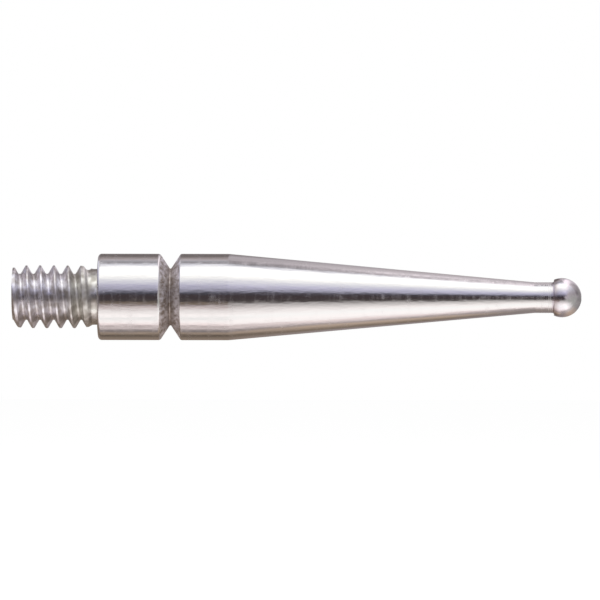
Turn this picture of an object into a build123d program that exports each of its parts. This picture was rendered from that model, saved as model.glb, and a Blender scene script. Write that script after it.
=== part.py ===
"""Stylus for a lever-type dial test indicator.

Two pieces: a slim steel body, turned from bar in one piece, and a carbide ball with a
flat ground on its back, brazed face to face on the body's neck. From the free end to
the tip the body has a rolled M1.6 thread, a plain neck, a grip with one V groove round
it, a long straight cone and a short round neck.

The X axis is the axis of the body. X = 0 is the shoulder that seats against the lever
of the indicator, -X is the thread and +X is the ball. Lengths are in millimetres and
angles in degrees.
"""

import os
from math import acos, atan, ceil, degrees, radians, tan

from build123d import *
from build123d.topology import SkipClean

# Thread, M1.6 x 0.35 right-hand, with a tapered lead and a crest that sinks at its end
THREAD_DIAMETER = 1.60
THREAD_PITCH = 0.35
THREAD_DEPTH = 0.6134 * THREAD_PITCH
THREAD_ROOT_WIDTH = THREAD_PITCH / 6
THREAD_FLANK_ANGLE = 30.0
THREAD_REACH = 2.18
LEAD_END_DIAMETER = 1.48
LEAD_LENGTH = 0.24
LAST_CREST_DIAMETER = 1.53
LAST_CREST_LENGTH = 0.26
CREST_ARCS = 18

# Plain neck between the thread and the shoulder, slightly waisted
NECK_DIAMETER = 1.43
NECK_LENGTH = 0.17
NECK_WAIST = 0.004
NECK_EDGE_LENGTH = 0.05

# Grip, with the recess in its seating face and the V groove round it
GRIP_DIAMETER = 2.20
GRIP_LENGTH = 3.32
GRIP_EDGE_RADIUS = 0.09
RECESS_DIAMETER = 1.67
RECESS_DEPTH = 0.05
GROOVE_CENTRE = 1.84
GROOVE_DEPTH = 0.40
GROOVE_FLANK_ANGLE = 33.4
GROOVE_ROOT_RADIUS = 0.03

# Cone, and the round neck that carries the ball
CONE_LENGTH = 7.80
CONE_BLEND_RADIUS = 0.80
TIP_NECK_DIAMETER = 0.78
TIP_NECK_LENGTH = 0.485

# Ball, with the flat on its back measured from its centre
BALL_DIAMETER = 1.00
BALL_FLAT_OFFSET = 0.205

# How far the thread's cutter stands out of the crest
CUTTER_OVERRUN = 0.02


def threaded_rod():
    """The rod that the thread is rolled on, from the free end to the shoulder.

    Its circle is drawn as equal arcs, so that the thread's crest is a row of short faces.
    """
    crest = THREAD_DIAMETER / 2
    neck = NECK_DIAMETER / 2
    neck_start = -NECK_LENGTH
    crest_end = neck_start - NECK_EDGE_LENGTH
    step = 360 / CREST_ARCS
    arcs = [CenterArc((0, 0), crest, step * i, step) for i in range(CREST_ARCS)]
    rod = extrude(Plane.YZ * Face(Wire(arcs)), -THREAD_REACH, clean=False)
    waist = ThreePointArc((neck_start, neck), (neck_start / 2, neck - NECK_WAIST), (0, neck))
    outline = Polyline(
        (0, neck),
        (0, 0),
        (-THREAD_REACH, 0),
        (-THREAD_REACH, LEAD_END_DIAMETER / 2),
        (LEAD_LENGTH - THREAD_REACH, crest),
        (crest_end - LAST_CREST_LENGTH, crest),
        (crest_end, LAST_CREST_DIAMETER / 2),
        (neck_start, neck),
    )
    return rod & revolve(make_face([*outline.edges(), waist]), Axis.X)


def groove_turn(path):
    """Cutter for one turn of the thread's groove, swept along a helix that starts at its root."""
    root = THREAD_DIAMETER / 2 - THREAD_DEPTH
    top = THREAD_DIAMETER / 2 + CUTTER_OVERRUN
    half_root = THREAD_ROOT_WIDTH / 2
    half_top = half_root + (top - root) * tan(radians(THREAD_FLANK_ANGLE))
    corners = (root, -half_root), (root, half_root), (top, half_top), (top, -half_top)
    section = Plane.XZ * Polygon(*corners, align=None)
    return Rot(0, 90, 0) * sweep(section, path, is_frenet=True)


def threaded_end():
    """The rod with its thread: full turns from the free end, then one turn that runs out.

    In the last turn the groove rises until it has left the neck, ahead of the shoulder.
    """
    root = THREAD_DIAMETER / 2 - THREAD_DEPTH
    rise = NECK_DIAMETER / 2 - root + CUTTER_OVERRUN
    run_out_angle = degrees(atan(rise / THREAD_PITCH))
    full_turn = groove_turn(Helix(THREAD_PITCH, THREAD_PITCH, root))
    last_turn = groove_turn(Helix(THREAD_PITCH, THREAD_PITCH, root, cone_angle=run_out_angle))
    last_start = -NECK_LENGTH / 2 - THREAD_PITCH
    turns = ceil((THREAD_REACH + last_start) / THREAD_PITCH + 0.5)
    rod = threaded_rod()
    for i in range(1, turns + 1):
        rod -= Pos(last_start - i * THREAD_PITCH, 0, 0) * full_turn
    return rod - Pos(last_start, 0, 0) * last_turn


def round_corner(section, corner, radius):
    """The flat section with its corner nearest to a point rounded."""
    return fillet(section.vertices().sort_by_distance(corner)[0], radius)


def turned_end():
    """Everything from the seating shoulder to the ball joint, as one turned form."""
    grip = GRIP_DIAMETER / 2
    neck = NECK_DIAMETER / 2
    tip_neck = TIP_NECK_DIAMETER / 2
    half_groove = GROOVE_DEPTH * tan(radians(GROOVE_FLANK_ANGLE))
    grip_edge = (0, grip)
    groove_root = (GROOVE_CENTRE, grip - GROOVE_DEPTH)
    cone_start = (GRIP_LENGTH, grip)
    cone_end = (GRIP_LENGTH + CONE_LENGTH, tip_neck)
    joint = GRIP_LENGTH + CONE_LENGTH + TIP_NECK_LENGTH
    outline = Polyline(
        (0, 0),
        (0, neck),
        (RECESS_DEPTH, (neck + RECESS_DIAMETER / 2) / 2),
        (0, RECESS_DIAMETER / 2),
        grip_edge,
        (GROOVE_CENTRE - half_groove, grip),
        groove_root,
        (GROOVE_CENTRE + half_groove, grip),
        cone_start,
        cone_end,
        (joint, tip_neck),
        (joint, 0),
        close=True,
    )
    section = make_face(outline)
    section = round_corner(section, grip_edge, GRIP_EDGE_RADIUS)
    section = round_corner(section, groove_root, GROOVE_ROOT_RADIUS)
    section = round_corner(section, cone_start, CONE_BLEND_RADIUS)
    section = round_corner(section, cone_end, CONE_BLEND_RADIUS)
    return revolve(section, Axis.X)


def stylus_body():
    """The steel body, its thread and its turned end in one solid."""
    return (threaded_end() + turned_end()).solid()


def contact_ball():
    """The carbide ball, with its flat against the end of the body's neck."""
    radius = BALL_DIAMETER / 2
    flat = GRIP_LENGTH + CONE_LENGTH + TIP_NECK_LENGTH
    centre = flat + BALL_FLAT_OFFSET
    arc = CenterArc((centre, 0), radius, 0, degrees(acos(-BALL_FLAT_OFFSET / radius)))
    edges = Polyline(arc @ 1, (flat, 0), arc @ 0).edges()
    return revolve(make_face([arc, *edges]), Axis.X).solid()


os.makedirs("parts", exist_ok=True)
# Faces on one cylinder are left apart, which keeps the crest's short faces
with SkipClean():
    export_step(stylus_body(), "parts/stylus_body.step")
    export_step(contact_ball(), "parts/contact_ball.step")
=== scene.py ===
"""Looks of a lever indicator's stylus: a bright turned steel body with a carbide ball.

The X axis is the axis of the stylus, with the ball at +X and X = 0 at the seating
shoulder. Each piece is a grid of two parameters carried round that axis.
"""

from math import pi, radians, sin, tan

import bmesh
import bpy
import numpy as np
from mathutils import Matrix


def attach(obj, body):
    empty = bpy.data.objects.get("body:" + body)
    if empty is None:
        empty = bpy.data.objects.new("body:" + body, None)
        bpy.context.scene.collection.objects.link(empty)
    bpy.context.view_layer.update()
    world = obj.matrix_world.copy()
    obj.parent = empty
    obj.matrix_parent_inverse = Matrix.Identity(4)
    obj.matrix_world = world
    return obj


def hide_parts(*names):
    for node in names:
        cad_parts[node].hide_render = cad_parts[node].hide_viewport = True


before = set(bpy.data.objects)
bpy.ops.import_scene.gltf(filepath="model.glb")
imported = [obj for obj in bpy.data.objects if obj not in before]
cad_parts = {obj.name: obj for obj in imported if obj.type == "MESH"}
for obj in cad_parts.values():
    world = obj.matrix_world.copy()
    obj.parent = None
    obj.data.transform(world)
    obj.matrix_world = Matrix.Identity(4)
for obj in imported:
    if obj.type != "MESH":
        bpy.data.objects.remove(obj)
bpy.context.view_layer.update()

# The body is one piece of hardened stainless steel, turned from bar and polished on
# its outside. Its thread is rolled, its neck is plain, the V groove round its grip is
# for a spanner, and the long cone ends in the short round neck that carries the ball.
MM = 0.001
STEPS_ROUND = 200

THREAD_PITCH = 0.35
THREAD_CREST = 0.80
THREAD_ROOT = THREAD_CREST - 0.6134 * THREAD_PITCH
THREAD_ROOT_ROUNDING = 0.1443 * THREAD_PITCH
THREAD_CREST_ROUNDING = 0.016
THREAD_FLANK_SLOPE = tan(radians(30))
RUN_OUT_START = -0.435
RUN_OUT_RISE = 0.20
NECK_RADIUS = 0.715
NECK_LENGTH = 0.17
NECK_WAIST = 0.004
BLANK_X = (-2.18, -1.94, -0.48, -0.24, -0.15)
BLANK_RADIUS = (0.74, THREAD_CREST, THREAD_CREST, 0.765, NECK_RADIUS)
FREE_END = BLANK_X[0]


def blank_radius(x):
    """The rod before threading: straight lines through its corners, then a waisted neck."""
    along_neck = np.clip(-x / NECK_LENGTH, 0, 1)
    waist = 4 * NECK_WAIST * along_neck * (1 - along_neck)
    return np.interp(x, BLANK_X, BLANK_RADIUS) - waist


def threaded_radius(x, turn):
    """The lower of the blank and the V groove. turn runs from 0 to 1 round the axis.

    The distance to the nearest turn of the groove sets the height on its flank, and past
    the start of the last turn the root rises in step with the distance along the helix.
    The root is an arc that both flanks touch, and the crest's edges are eased by a smooth
    minimum: low * h + high * (1 - h) - ease * h * (1 - h). Both grow as the groove runs out.
    """
    turns_from_run_out = (x - RUN_OUT_START) / THREAD_PITCH - turn
    nearest = np.minimum(np.round(turns_from_run_out), 0)
    off_centre = np.abs(turns_from_run_out - nearest) * THREAD_PITCH
    run_out = np.where(nearest == 0, turn, 0)
    root = THREAD_ROOT + RUN_OUT_RISE * run_out
    rounding = THREAD_ROOT_ROUNDING * (1 + 1.5 * run_out)
    on_arc = np.minimum(off_centre, rounding * sin(radians(60)))
    groove = root + rounding - np.sqrt(rounding**2 - on_arc**2)
    groove = groove + (off_centre - on_arc) / THREAD_FLANK_SLOPE
    blank = blank_radius(x)
    ease = THREAD_CREST_ROUNDING * (1 + 3 * run_out)
    h = np.clip(0.5 + (blank - groove) / (2 * ease), 0, 1)
    return groove * h + blank * (1 - h) - ease * h * (1 - h)


def rounded_corner(before, corner, after, radius, steps=10):
    """Points on the arc of that radius that touches both straight sides of a corner."""
    before, corner, after = (np.array(p, float) for p in (before, corner, after))
    to_before = (before - corner) / np.linalg.norm(before - corner)
    to_after = (after - corner) / np.linalg.norm(after - corner)
    half_angle = np.arccos(to_before @ to_after) / 2
    bisector = (to_before + to_after) / np.linalg.norm(to_before + to_after)
    centre = corner + bisector * radius / np.sin(half_angle)
    first = corner + to_before * radius / np.tan(half_angle) - centre
    last = corner + to_after * radius / np.tan(half_angle) - centre
    sweep = pi - 2 * half_angle
    t = np.linspace(0, 1, steps + 1)[:, None]
    arc = np.sin((1 - t) * sweep) * first + np.sin(t * sweep) * last
    return centre + arc / np.sin(sweep)


def straight(start, end, steps):
    """Evenly spaced points strictly between two ends of a straight side."""
    t = np.linspace(0, 1, steps + 1)[1:-1, None]
    return np.array(start) * (1 - t) + np.array(end) * t


def grid_faces(rows, columns):
    """Four corner numbers for each face of a grid whose points are counted row by row."""
    index = np.arange(rows * columns).reshape(rows, columns)
    corners = (index[:-1, :-1], index[1:, :-1], index[1:, 1:], index[:-1, 1:])
    return np.stack([c.ravel() for c in corners], axis=-1)


def turned_mesh(name, x, radius, turn):
    """A closed mesh from grids of position along X and radius, carried round the X axis.

    Rows run along X and columns round the axis, from the bottom (0) over the back and the
    top to the bottom again (1). Points that fall together are merged, which closes the
    seam and the poles, and edges sharper than 30 degrees stay crisp.
    """
    around = 2 * pi * turn
    points = np.stack([x, radius * np.sin(around), -radius * np.cos(around)], axis=-1)
    mesh = bpy.data.meshes.new(name)
    mesh.from_pydata(points.reshape(-1, 3) * MM, [], grid_faces(*x.shape))
    merge_points(mesh)
    mesh.shade_smooth()
    mesh.set_sharp_from_angle(angle=radians(30))
    piece = bpy.data.objects.new(name, mesh)
    bpy.context.scene.collection.objects.link(piece)
    return piece


def merge_points(mesh, distance=2e-7):
    """Merges points closer than the distance, in metres, and turns the faces outwards."""
    shape = bmesh.new()
    shape.from_mesh(mesh)
    bmesh.ops.remove_doubles(shape, verts=shape.verts, dist=distance)
    bmesh.ops.dissolve_degenerate(shape, edges=shape.edges, dist=distance)
    bmesh.ops.recalc_face_normals(shape, faces=shape.faces)
    shape.to_mesh(mesh)
    shape.free()


# Lines of the thread's mesh follow the helix: a line is a fixed place across the groove
root_arc = THREAD_ROOT_ROUNDING * np.sin(np.radians([15, 30, 45, 60]))
flank_end = (THREAD_CREST - THREAD_ROOT + THREAD_ROOT_ROUNDING) * THREAD_FLANK_SLOPE
flank = np.linspace(root_arc[-1], flank_end - 0.012, 5)[1:]
crest_edge = flank_end + np.array([-0.006, 0, 0.006, 0.012])
half_groove = np.concatenate([root_arc, flank, crest_edge])
across = np.concatenate([-half_groove[::-1], [0], half_groove, [THREAD_PITCH / 2]])
first_turn = int(np.floor((FREE_END - THREAD_PITCH - RUN_OUT_START) / THREAD_PITCH))
turn_starts = RUN_OUT_START + THREAD_PITCH * np.arange(first_turn, 2)
helix_lines = (turn_starts[:, None] + across).ravel()
turn = np.linspace(0, 1, STEPS_ROUND + 1)
thread_x = np.clip(helix_lines[:, None] + THREAD_PITCH * turn, FREE_END, 0)
thread_radius = threaded_radius(thread_x, turn)

# Sizes of the turned end. A corner is a place along X and a radius.
GRIP_RADIUS = 1.10
GRIP_EDGE_RADIUS = 0.09
RECESS_RADIUS = 0.835
RECESS_DEPTH = 0.05
GROOVE_CENTRE = 1.84
GROOVE_DEPTH = 0.40
GROOVE_FLANK_ANGLE = 33.4
GROOVE_ROOT_RADIUS = 0.03
GROOVE_FIRST_EDGE_RADIUS = 0.09
GROOVE_SECOND_EDGE_RADIUS = 0.05
GROOVE_FINISH_INSET = 0.02
TIP_NECK_RADIUS = 0.39
BLEND_RADIUS = 0.80
CONE_START = (3.32, GRIP_RADIUS)
CONE_END = (11.12, TIP_NECK_RADIUS)
JOINT = (11.605, TIP_NECK_RADIUS)
groove_half_width = GROOVE_DEPTH * tan(radians(GROOVE_FLANK_ANGLE))
recess = [(RECESS_DEPTH, (NECK_RADIUS + RECESS_RADIUS) / 2), (0, RECESS_RADIUS)]
face_corner = (0, GRIP_RADIUS)
groove_start = (GROOVE_CENTRE - groove_half_width, GRIP_RADIUS)
groove_root = (GROOVE_CENTRE, GRIP_RADIUS - GROOVE_DEPTH)
groove_end = (GROOVE_CENTRE + groove_half_width, GRIP_RADIUS)
grip_edge = rounded_corner(recess[-1], face_corner, groove_start, GRIP_EDGE_RADIUS)
first_edge = rounded_corner(
    face_corner, groove_start, groove_root, GROOVE_FIRST_EDGE_RADIUS, steps=5,
)
second_edge = rounded_corner(
    groove_root, groove_end, CONE_START, GROOVE_SECOND_EDGE_RADIUS, steps=5,
)
cone_blend = rounded_corner(groove_end, CONE_START, CONE_END, BLEND_RADIUS)
neck_blend = rounded_corner(CONE_START, CONE_END, JOINT, BLEND_RADIUS)
braze_fillet = np.array([(-0.045, 0), (-0.025, 0.004), (-0.010, 0.012), (0, 0.026)]) + JOINT
profile = np.concatenate([
    recess,
    grip_edge,
    straight(grip_edge[-1], first_edge[0], 10),
    first_edge,
    straight(first_edge[-1], groove_root, 5),
    rounded_corner(groove_start, groove_root, groove_end, GROOVE_ROOT_RADIUS, steps=6),
    straight(groove_root, second_edge[0], 5),
    second_edge,
    straight(second_edge[-1], cone_blend[0], 8),
    cone_blend,
    straight(cone_blend[-1], neck_blend[0], 48),
    neck_blend,
    straight(neck_blend[-1], braze_fillet[0], 4),
    braze_fillet,
    [(JOINT[0], 0)],
])
every_turn = np.ones(STEPS_ROUND + 1)
end_face = threaded_radius(np.full(STEPS_ROUND + 1, FREE_END), turn)
face_share = np.array([0.0, 0.35, 0.7])[:, None]
body_x = np.concatenate([
    np.full((3, STEPS_ROUND + 1), FREE_END),
    thread_x,
    profile[:, :1] * every_turn,
])
body_radius = np.concatenate([
    face_share * end_face,
    thread_radius,
    profile[:, 1:] * every_turn,
])
body = turned_mesh("steel_body", body_x, body_radius, turn)


def node_maker(material):
    """A function that adds a node to the material and fills the sockets it is given."""
    tree = material.node_tree

    def add(kind, inputs=None, **settings):
        node = tree.nodes.new("ShaderNode" + kind)
        for setting, value in settings.items():
            setattr(node, setting, value)
        for socket, value in (inputs or {}).items():
            if isinstance(value, bpy.types.NodeSocket):
                tree.links.new(value, node.inputs[socket])
            else:
                node.inputs[socket].default_value = value
        return node

    return add


def new_material(name):
    """An empty node material, its node maker and its output node."""
    material = bpy.data.materials.new(name)
    material.use_nodes = True
    material.node_tree.nodes.clear()
    add = node_maker(material)
    return material, add, add("OutputMaterial")


def stretched_noise(add, per_mm, detail=3.0, roughness=0.6):
    """Noise with that many grains to the millimetre along X, Y and Z of the piece."""
    place = add("TexCoord").outputs["Object"]
    grains = add("Mapping", {"Vector": place, "Scale": [n / MM for n in per_mm]})
    return add("TexNoise", {
        "Vector": grains.outputs[0], "Scale": 1.0, "Detail": detail, "Roughness": roughness,
    }).outputs["Fac"]


def place_along(add):
    """The place along X on the piece, in metres."""
    return add("SeparateXYZ", {"Vector": add("TexCoord").outputs["Object"]}).outputs["X"]


def spread(add, value, low, high, start=0.3, end=0.7):
    """The value carried from start..end to low..high, and held there."""
    return add("MapRange", {
        "Value": value, "From Min": start, "From Max": end, "To Min": low, "To Max": high,
    }).outputs["Result"]


def sum_of(add, first, *others):
    """The values added up."""
    for value in others:
        first = add("Math", {0: first, 1: value}, operation="ADD").outputs[0]
    return first


def relief(add, *layers):
    """Bumps laid one over another. Each layer is a height and its depth in micrometres."""
    normal = None
    for height, depth in layers:
        inputs = {"Height": height, "Distance": depth * 1e-6, "Strength": 1.0}
        if normal:
            inputs["Normal"] = normal
        normal = add("Bump", inputs).outputs["Normal"]
    return normal


def tinted(add, value, dark, light):
    """A colour between dark and light, as the value goes from 0 to 1."""
    return add("MixRGB", {"Fac": value, "Color1": (*dark, 1), "Color2": (*light, 1)}).outputs[0]


# Turned and polished outside: rings from the tool, some of them rougher and most of all
# those on the neck, faint marks of the polish, smudges, and a darker ring beside the braze,
# partly the braze's own tint and partly painted shade of the joint
polished, add, output = new_material("polished_steel")
rings = stretched_noise(add, (7, 0.5, 0.5), detail=4.0)
fine_rings = stretched_noise(add, (40, 0.6, 0.6))
polish_marks = stretched_noise(add, (1.0, 5, 5))
fine_marks = stretched_noise(add, (6, 14, 14))
smudges = stretched_noise(add, (3, 6, 6), detail=5.0)
on_the_neck = spread(add, place_along(add), 0.0, 0.26, 11.0 * MM, 11.5 * MM)
neck_rings = add("Math", {
    0: spread(add, fine_rings, 0.0, 1.0, 0.45, 0.60), 1: on_the_neck,
}, operation="MULTIPLY").outputs[0]
# Painted shade, with the braze's tint: the steel darkens over its last few hundredths of a
# millimetre before the joint
braze_tint_and_shade = spread(add, place_along(add), 0.0, 1.0, 11.52 * MM, 11.58 * MM)
shader = add("BsdfPrincipled", {
    "Base Color": tinted(add, braze_tint_and_shade, (0.63, 0.62, 0.61), (0.46, 0.42, 0.44)),
    "Metallic": 1.0,
    "Roughness": sum_of(
        add,
        spread(add, rings, 0.04, 0.20, 0.38, 0.66),
        spread(add, smudges, 0.0, 0.16, 0.54, 0.72),
        neck_rings,
    ),
    "Normal": relief(add, (rings, 0.5), (fine_rings, 0.4), (polish_marks, 5.0), (fine_marks, 1.6)),
})
polished.node_tree.links.new(shader.outputs[0], output.inputs["Surface"])

# Rolled thread: duller than the polished outside and dirty, with a yellower stain on its
# last turns and on the plain neck, which is smoother
threaded, add, output = new_material("rolled_thread")
grime = stretched_noise(add, (5, 5, 5), detail=1.0)
grain = stretched_noise(add, (16, 4, 4), detail=1.0)
clean_share = spread(add, grime, 0.0, 1.0, 0.36, 0.60)
near_shoulder = spread(add, place_along(add), 0.0, 1.0, -0.95 * MM, -0.55 * MM)
on_plain_neck = spread(add, place_along(add), 0.0, 1.0, -0.26 * MM, -0.16 * MM)
shader = add("BsdfPrincipled", {
    "Base Color": add("MixRGB", {
        "Fac": near_shoulder,
        "Color1": tinted(add, clean_share, (0.48, 0.45, 0.43), (0.73, 0.72, 0.75)),
        "Color2": tinted(add, clean_share, (0.39, 0.37, 0.33), (0.65, 0.64, 0.60)),
    }).outputs[0],
    "Metallic": 1.0,
    "Roughness": sum_of(
        add,
        spread(add, grime, 0.40, 0.26),
        spread(add, near_shoulder, 0.0, 0.14, 0.0, 1.0),
        spread(add, on_plain_neck, 0.0, -0.16, 0.0, 1.0),
    ),
    "Normal": relief(add, (grime, 3.5), (grain, 0.3)),
})
threaded.node_tree.links.new(shader.outputs[0], output.inputs["Surface"])

# Groove cut by a pointed tool: matt, mottled sides, darker towards its root, which is painted shade
# of the recess with some grime
grooved, add, output = new_material("cut_groove")
mottle = stretched_noise(add, (8, 5, 10), detail=4.0)
tears = stretched_noise(add, (20, 8, 8))
# Painted shade with some grime: the colour darkens within 0.14 mm of the groove's root
from_root = add("Math", {0: place_along(add), 1: GROOVE_CENTRE * MM}, operation="SUBTRACT")
distance = add("Math", {0: from_root.outputs[0]}, operation="ABSOLUTE").outputs[0]
mottle_and_root_shade = add("Math", {
    0: spread(add, mottle, 0.0, 1.0, 0.36, 0.64),
    1: spread(add, distance, 0.30, 1.0, 0.0, 0.14 * MM),
}, operation="MULTIPLY").outputs[0]
shader = add("BsdfPrincipled", {
    "Base Color": tinted(add, mottle_and_root_shade, (0.32, 0.27, 0.23), (0.82, 0.80, 0.82)),
    "Metallic": 1.0,
    "Roughness": spread(add, mottle, 0.62, 0.46),
    "Normal": relief(add, (mottle, 9.0), (tears, 2.0)),
})
grooved.node_tree.links.new(shader.outputs[0], output.inputs["Surface"])

for material in (polished, threaded, grooved):
    body.data.materials.append(material)
faces = body.data.polygons
centres = np.empty(3 * len(faces))
faces.foreach_get("center", centres)
centre_x = centres[::3] / MM
in_groove = np.abs(centre_x - GROOVE_CENTRE) < groove_half_width - GROOVE_FINISH_INSET
finish = np.where(centre_x < 0, 1, np.where(in_groove, 2, 0))
faces.foreach_set("material_index", finish.astype(np.int32))
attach(body, "root")
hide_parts("stylus_body")

# The ball is ground and lapped tungsten carbide, greyer and duller than the steel. The
# flat ground on its back is brazed to the end of the neck and stands out round it.
BALL_RADIUS = 0.50
BALL_FLAT_OFFSET = 0.205
BALL_CENTRE = JOINT[0] + BALL_FLAT_OFFSET
BALL_RINGS = 72
flat_angle = np.arccos(-BALL_FLAT_OFFSET / BALL_RADIUS)
down_the_ball = np.linspace(flat_angle, 0, BALL_RINGS)[:, None] * np.ones(STEPS_ROUND + 1)
on_the_flat = np.array([0.0, 0.5, 0.86])[:, None] * np.ones(STEPS_ROUND + 1)
ball_x = np.concatenate([
    np.full(on_the_flat.shape, JOINT[0]),
    BALL_CENTRE + BALL_RADIUS * np.cos(down_the_ball),
])
ball_radius = np.concatenate([
    on_the_flat * BALL_RADIUS * np.sin(flat_angle),
    BALL_RADIUS * np.sin(down_the_ball),
])
ball = turned_mesh("carbide_ball", ball_x, ball_radius, turn)

carbide, add, output = new_material("lapped_carbide")
lapping = stretched_noise(add, (14, 14, 14), detail=4.0)
stains = stretched_noise(add, (5, 5, 5), detail=4.0)
# Painted shade, with the braze's tint: the ball is darker just past the joint and clears within
# 0.13 mm of it
clear_of_joint_shade = spread(
    add, place_along(add), 0.0, 1.0, (JOINT[0] + 0.04) * MM, (JOINT[0] + 0.13) * MM,
)
metal = tinted(add, spread(add, stains, 0.0, 1.0), (0.54, 0.52, 0.54), (0.72, 0.69, 0.70))
shader = add("BsdfPrincipled", {
    "Base Color": add("MixRGB", {
        "Fac": clear_of_joint_shade, "Color1": (0.42, 0.38, 0.38, 1), "Color2": metal,
    }).outputs[0],
    "Metallic": 1.0,
    "Roughness": spread(add, lapping, 0.10, 0.22),
    "Normal": relief(add, (lapping, 1.5)),
})
carbide.node_tree.links.new(shader.outputs[0], output.inputs["Surface"])
ball.data.materials.append(carbide)
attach(ball, "root")
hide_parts("contact_ball")

# The floor is a plain pale sheet under the stylus, out of the picture's lower edge. It
# is lit to near white, and the stylus leaves a soft shadow on it.
FLOOR_Z = -9.0
FLOOR_HALF_SIZE = 400.0
corner_signs = np.array([(-1, -1), (1, -1), (1, 1), (-1, 1)])
floor_points = np.column_stack([corner_signs * FLOOR_HALF_SIZE, np.full(4, FLOOR_Z)]) * MM
floor_mesh = bpy.data.meshes.new("floor")
floor_mesh.from_pydata(floor_points, [], [(0, 1, 2, 3)])
floor = bpy.data.objects.new("floor", floor_mesh)
bpy.context.scene.collection.objects.link(floor)

pale, add, output = new_material("pale_floor")
rays = add("LightPath").outputs
seen = add("Math", {0: rays["Is Camera Ray"], 1: rays["Is Glossy Ray"]}, operation="MAXIMUM")
seen = add("Math", {0: seen.outputs[0], 1: rays["Is Transmission Ray"]}, operation="MAXIMUM")
share = add("Math", {0: seen.outputs[0], 1: 0.6}, operation="MULTIPLY")
paint = add("BsdfDiffuse", {"Color": (0.97, 0.97, 0.97, 1)})
white = add("Emission", {"Color": (1, 1, 1, 1), "Strength": 1.0})
mix = add("MixShader", {0: share.outputs[0], 1: paint.outputs[0], 2: white.outputs[0]})
pale.node_tree.links.new(mix.outputs[0], output.inputs["Surface"])
floor_mesh.materials.append(pale)

# The world is plain white all round
world = bpy.data.worlds.new("white_room")
bpy.context.scene.world = world
world.use_nodes = True
world.node_tree.nodes.clear()
add = node_maker(world)
background = add("Background", {"Color": (1, 1, 1, 1), "Strength": 1.0})
output = add("OutputWorld", {"Surface": background.outputs[0]})

# The light comes from strips of cloth and card hung round the axis of the stylus, as in
# a small tent. Angles go round that axis: 0 is towards the camera, 90 is overhead and
# negative angles are below, where the strips lie just above the floor.
TENT_RADIUS = 120.0
LEFT_END = -70.0
RIGHT_END = 80.0
STRIP_LIFT = 0.2
STRIP_DROP = -FLOOR_Z - STRIP_LIFT
CURTAIN_HALF_WIDTH = 144.0
CURTAIN_TOP = 144.0
CURTAIN_ROWS = 80
NEUTRAL = (1.0, 1.0, 1.0)
COOL = (1.0, 1.0, 1.10)
LAVENDER = (1.02, 1.0, 1.28)
PINK = (1.09, 1.0, 1.07)
PLUM = (1.28, 1.0, 1.10)
WARM = (1.05, 1.0, 1.0)
ROSE = (1.15, 1.0, 1.0)
OLIVE = (1.28, 1.0, 0.80)
GREENISH = (0.99, 1.0, 0.95)

cloth, add, output = new_material("lit_cloth")
glow = add("Attribute", attribute_name="glow").outputs["Color"]
light = add("Emission", {"Color": glow, "Strength": 1.0})
cloth.node_tree.links.new(light.outputs[0], output.inputs["Surface"])
cloth.cycles.emission_sampling = "NONE"


def grade(stops, places):
    """The glow at each place, evenly graded. A stop is a place, a brightness and a tint."""
    stops = sorted(stops, key=lambda stop: stop[0])
    at = [stop[0] for stop in stops]
    glow = np.array([stop[1] * np.array(stop[2]) for stop in stops])
    return np.stack([np.interp(places, at, glow[:, i]) for i in range(3)], axis=-1)


def lit_sheet(name, points, glow):
    """A sheet of lit cloth over a grid of points. It shows only as a mirrored glow."""
    mesh = bpy.data.meshes.new(name)
    mesh.from_pydata(points.reshape(-1, 3) * MM, [], grid_faces(*points.shape[:2]))
    attribute = mesh.attributes.new("glow", "FLOAT_COLOR", "POINT")
    rgba = np.concatenate([glow, np.ones((*glow.shape[:2], 1))], axis=-1)
    attribute.data.foreach_set("color", rgba.ravel())
    mesh.materials.append(cloth)
    sheet = bpy.data.objects.new(name, mesh)
    bpy.context.scene.collection.objects.link(sheet)
    sheet.visible_camera = False
    sheet.visible_diffuse = False
    sheet.visible_shadow = False


def tent_strip(name, *stations):
    """A strip round the axis. A station is a place along X and its stops by angle.

    The glow goes evenly from stop to stop and from station to station. A point lies on a
    circle of the tent's radius, or nearer where the circle would go below the floor.
    """
    ends = stations[0][1][0][0], stations[0][1][-1][0]
    angles = np.linspace(min(ends), max(ends), int(max(ends) - min(ends)) + 2)
    a = np.radians(angles)
    reach = np.minimum(TENT_RADIUS, STRIP_DROP / np.maximum(-np.sin(a), 1e-6))
    across = [np.column_stack([np.full(a.size, x), -reach * np.cos(a), reach * np.sin(a)])
              for x, stops in stations]
    glow = [grade(stops, angles) for x, stops in stations]
    lit_sheet(name, np.array(across), np.array(glow))


def end_curtain(name, x, *stations):
    """An upright curtain across an end. A station is a place along Y and its stops by height."""
    heights = np.linspace(FLOOR_Z, CURTAIN_TOP, CURTAIN_ROWS)
    across = [np.column_stack([np.full(CURTAIN_ROWS, x), np.full(CURTAIN_ROWS, y), heights])
              for y, stops in stations]
    glow = [grade(stops, heights) for y, stops in stations]
    lit_sheet(name, np.array(across), np.array(glow))


# Overhead softbox, whose light falls off towards its ends
softbox = [(60, 1.70, NEUTRAL), (70, 1.90, NEUTRAL), (86, 1.80, NEUTRAL), (94, 1.20, COOL)]
tent_strip(
    "overhead_softbox",
    (LEFT_END, [(60, 1.20, NEUTRAL), (94, 1.00, NEUTRAL)]),
    (-45, softbox),
    (45, softbox),
    (RIGHT_END, [(60, 1.20, PINK), (94, 1.20, PINK)]),
)

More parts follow.
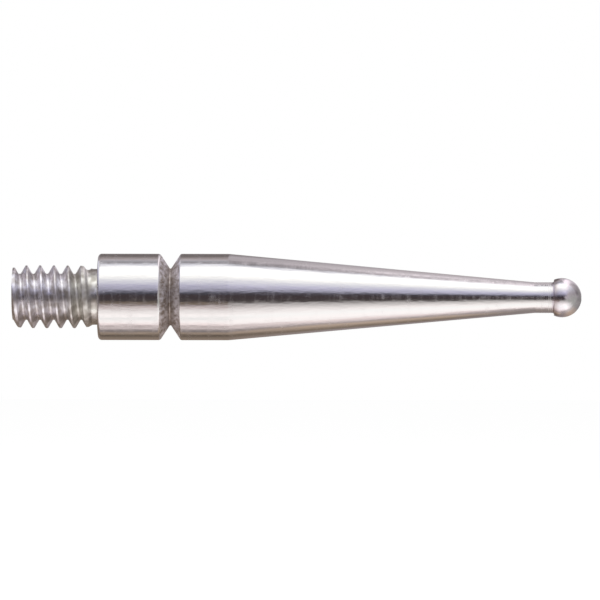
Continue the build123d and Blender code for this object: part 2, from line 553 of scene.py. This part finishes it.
# Curtain behind: a dark frame under the softbox, then a fold that catches the light. It
# hangs in the shade behind the grip and is lit again behind the ball.
behind_left = [(94, 0.90, NEUTRAL), (120, 0.60, PINK), (179, 0.40, PINK)]
behind_grip = [
    (94, 1.20, COOL), (100, 0.75, COOL), (103, 0.40, PINK), (109, 0.50, COOL), (117, 0.65, PINK),
    (127, 0.40, ROSE), (140, 0.18, ROSE), (179, 0.24, ROSE),
]
behind_neck = [
    (94, 0.90, COOL), (100, 0.75, COOL), (110, 0.50, PINK), (135, 0.60, PINK), (179, 0.35, PINK),
]
behind_cone_start = [
    (94, 1.10, COOL), (100, 0.50, COOL), (105, 0.30, PINK), (113, 0.40, PINK), (122, 0.75, PINK),
    (179, 0.35, ROSE),
]
behind_cone = [
    (94, 1.00, COOL), (101, 0.55, PINK), (116, 1.35, PINK), (130, 0.75, PINK), (160, 0.45, PINK),
]
behind_cone_end = [(94, 0.85, PINK), (105, 0.65, PINK), (130, 0.65, PINK), (160, 0.40, PINK)]
behind_ball = [(94, 1.50, PINK), (124, 1.40, PINK), (155, 0.80, PINK), (179, 0.50, PINK)]
behind_right = [(94, 1.20, PINK), (118, 0.90, PINK), (140, 0.60, PINK), (179, 0.40, PINK)]
tent_strip(
    "back_curtain",
    (LEFT_END, behind_left),
    (-20, behind_grip),
    (3, behind_grip),
    (8, behind_neck),
    (11, behind_neck),
    (14, behind_cone_start),
    (15.5, behind_cone_start),
    (20, behind_cone),
    (24, behind_cone_end),
    (29, behind_ball),
    (45, behind_ball),
    (RIGHT_END, behind_right),
)

# Curtain in front, from the softbox down to the gap that the camera looks through
front_grip = [
    (60, 1.70, NEUTRAL), (54, 1.45, NEUTRAL), (42, 1.05, COOL), (30, 0.70, LAVENDER),
    (20, 0.50, LAVENDER), (13, 0.20, LAVENDER), (8, 0.09, LAVENDER),
]
front_cone = [
    (60, 1.70, NEUTRAL), (54, 1.50, NEUTRAL), (42, 1.10, COOL), (30, 0.80, LAVENDER),
    (19, 0.50, LAVENDER), (13, 0.16, LAVENDER), (8, 0.07, PLUM),
]
front_right = [(60, 1.20, PINK), (40, 0.75, LAVENDER), (8, 0.60, PINK)]
tent_strip(
    "front_curtain",
    (LEFT_END, front_grip),
    (6, front_grip),
    (18, front_cone),
    (48, front_cone),
    (RIGHT_END, front_right),
)
gap = [(8, 0.08, LAVENDER), (4, 0.06, PLUM), (-4, 0.06, PLUM), (-10, 0.08, ROSE)]
beside_the_gap = [(8, 0.60, PINK), (-10, 0.60, PINK)]
tent_strip(
    "dark_gap",
    (LEFT_END, gap),
    (36, gap),
    (44, beside_the_gap),
    (RIGHT_END, beside_the_gap),
)

# Reflector on the floor in front, in one sheet with a fold at 50 degrees
reflector_left = [(-10, 0.12, ROSE), (-50, 0.45, ROSE)]
reflector_grip = [
    (-10, 0.08, ROSE), (-17, 0.22, OLIVE), (-22, 0.40, ROSE), (-28, 0.80, ROSE), (-36, 1.15, WARM),
    (-50, 1.50, WARM),
]
reflector_cone = [
    (-10, 0.08, ROSE), (-13, 0.12, ROSE), (-19, 0.60, WARM), (-28, 0.90, WARM), (-40, 1.35, WARM),
    (-50, 1.50, NEUTRAL),
]
reflector_right = [(-10, 0.60, GREENISH), (-50, 0.60, GREENISH)]
tent_strip(
    "front_reflector",
    (LEFT_END, reflector_left),
    (-20, reflector_left),
    (-6, reflector_grip),
    (4, reflector_grip),
    (8, reflector_cone),
    (17, reflector_cone),
    (30, reflector_right),
    (RIGHT_END, reflector_right),
)
folded_left = [(-50, 0.45, ROSE), (-79, 0.40, ROSE)]
folded_grip = [
    (-50, 1.50, WARM), (-56, 1.25, NEUTRAL), (-66, 1.45, WARM), (-75, 1.20, ROSE),
    (-79, 0.75, ROSE),
]
folded_cone = [(-50, 1.50, NEUTRAL), (-66, 1.50, WARM), (-75, 1.40, WARM), (-79, 1.15, ROSE)]
folded_right = [(-50, 0.60, GREENISH), (-79, 0.55, GREENISH)]
tent_strip(
    "folded_reflector",
    (LEFT_END, folded_left),
    (-20, folded_left),
    (-8, folded_grip),
    (3, folded_grip),
    (6, folded_cone),
    (16, folded_cone),
    (27, folded_right),
    (RIGHT_END, folded_right),
)

# Card on the floor behind the reflector, with the reflector's bright edge at 87 degrees.
# Its dim glow is a painted reflection of the floor lying in the stylus's shadow.
card_grip = [
    (-79, 0.75, ROSE), (-82, 0.60, ROSE), (-87, 0.90, ROSE), (-94, 0.40, ROSE), (-100, 0.26, ROSE),
    (-107, 0.40, OLIVE), (-121, 0.12, OLIVE), (-137, 0.24, OLIVE), (-179, 0.24, OLIVE),
]
card_cone = [
    (-79, 1.15, ROSE), (-87, 0.95, ROSE), (-94, 0.50, ROSE), (-107, 0.55, OLIVE),
    (-121, 0.30, OLIVE), (-130, 0.22, OLIVE), (-150, 0.35, ROSE), (-179, 0.30, ROSE),
]
card_neck = [(-79, 0.75, ROSE), (-88, 0.45, ROSE), (-110, 0.30, ROSE), (-179, 0.35, ROSE)]
card_ball = [(-79, 0.90, WARM), (-110, 0.55, OLIVE), (-179, 0.35, OLIVE)]
card_right = [(-79, 0.55, GREENISH), (-140, 0.40, WARM), (-179, 0.30, WARM)]
tent_strip(
    "back_card",
    (LEFT_END, card_grip),
    (3, card_grip),
    (6.5, card_cone),
    (10, card_cone),
    (12, card_neck),
    (16, card_ball),
    (26, card_right),
    (RIGHT_END, card_right),
)

# End curtains: the right one is dark 20 mm up behind the axis, the left one low down
end_curtain(
    "right_curtain", RIGHT_END,
    (-CURTAIN_HALF_WIDTH, [(-9, 0.60, GREENISH), (0, 0.60, PINK), (144, 0.80, PINK)]),
    (-60, [(-9, 0.60, GREENISH), (36, 0.55, PINK), (90, 1.05, COOL), (144, 1.30, PINK)]),
    (0, [
        (-9, 0.50, GREENISH), (26, 0.40, PINK), (50, 0.60, COOL), (86, 1.05, COOL),
        (144, 1.30, PINK),
    ]),
    (12, [
        (-9, 0.40, GREENISH), (6, 0.40, PINK), (20, 0.18, PINK), (40, 0.40, PINK),
        (144, 1.00, PINK),
    ]),
    (46, [(-9, 0.35, WARM), (20, 0.35, WARM), (144, 0.80, PINK)]),
    (CURTAIN_HALF_WIDTH, [(-9, 0.30, WARM), (144, 0.50, PINK)]),
)
dark_low_down = [
    (-9, 0.30, ROSE), (-3, 0.14, ROSE), (8, 0.12, PLUM), (20, 0.30, LAVENDER), (41, 0.60, LAVENDER),
    (86, 1.30, COOL),
]
end_curtain(
    "left_curtain", LEFT_END,
    (-CURTAIN_HALF_WIDTH, dark_low_down),
    (CURTAIN_HALF_WIDTH, dark_low_down),
)

# One soft lamp over the stylus lights the floor and throws the shadow
LAMP_PLACE = (5.0, -10.0, 115.0)
LAMP_LENGTH = 150.0
LAMP_WIDTH = 80.0
LAMP_WATTS = 0.12
lamp_data = bpy.data.lights.new("soft_lamp", "AREA")
lamp_data.shape = "RECTANGLE"
lamp_data.size = LAMP_LENGTH * MM
lamp_data.size_y = LAMP_WIDTH * MM
lamp_data.energy = LAMP_WATTS
lamp = bpy.data.objects.new("soft_lamp", lamp_data)
lamp.location = [c * MM for c in LAMP_PLACE]
lamp.visible_glossy = False
bpy.context.scene.collection.objects.link(lamp)

# The camera looks level at the side of the stylus, from a little towards the ball
CAMERA_PLACE = (7.31, -159.0, -0.071)
CAMERA_TURN = 0.782
CAMERA_ROLL = -0.10
PICTURE_WIDTH_ANGLE = 5.504
camera_data = bpy.data.cameras.new("camera")
camera_data.lens = camera_data.sensor_width / 2 / tan(radians(PICTURE_WIDTH_ANGLE / 2))
camera_data.clip_start = 1 * MM
camera_data.clip_end = 5
camera = bpy.data.objects.new("camera", camera_data)
camera.location = [c * MM for c in CAMERA_PLACE]
camera.rotation_euler = (radians(90), radians(CAMERA_ROLL), radians(CAMERA_TURN))
bpy.context.scene.collection.objects.link(camera)
bpy.context.scene.camera = camera

bpy.context.scene.view_settings.view_transform = "Standard"
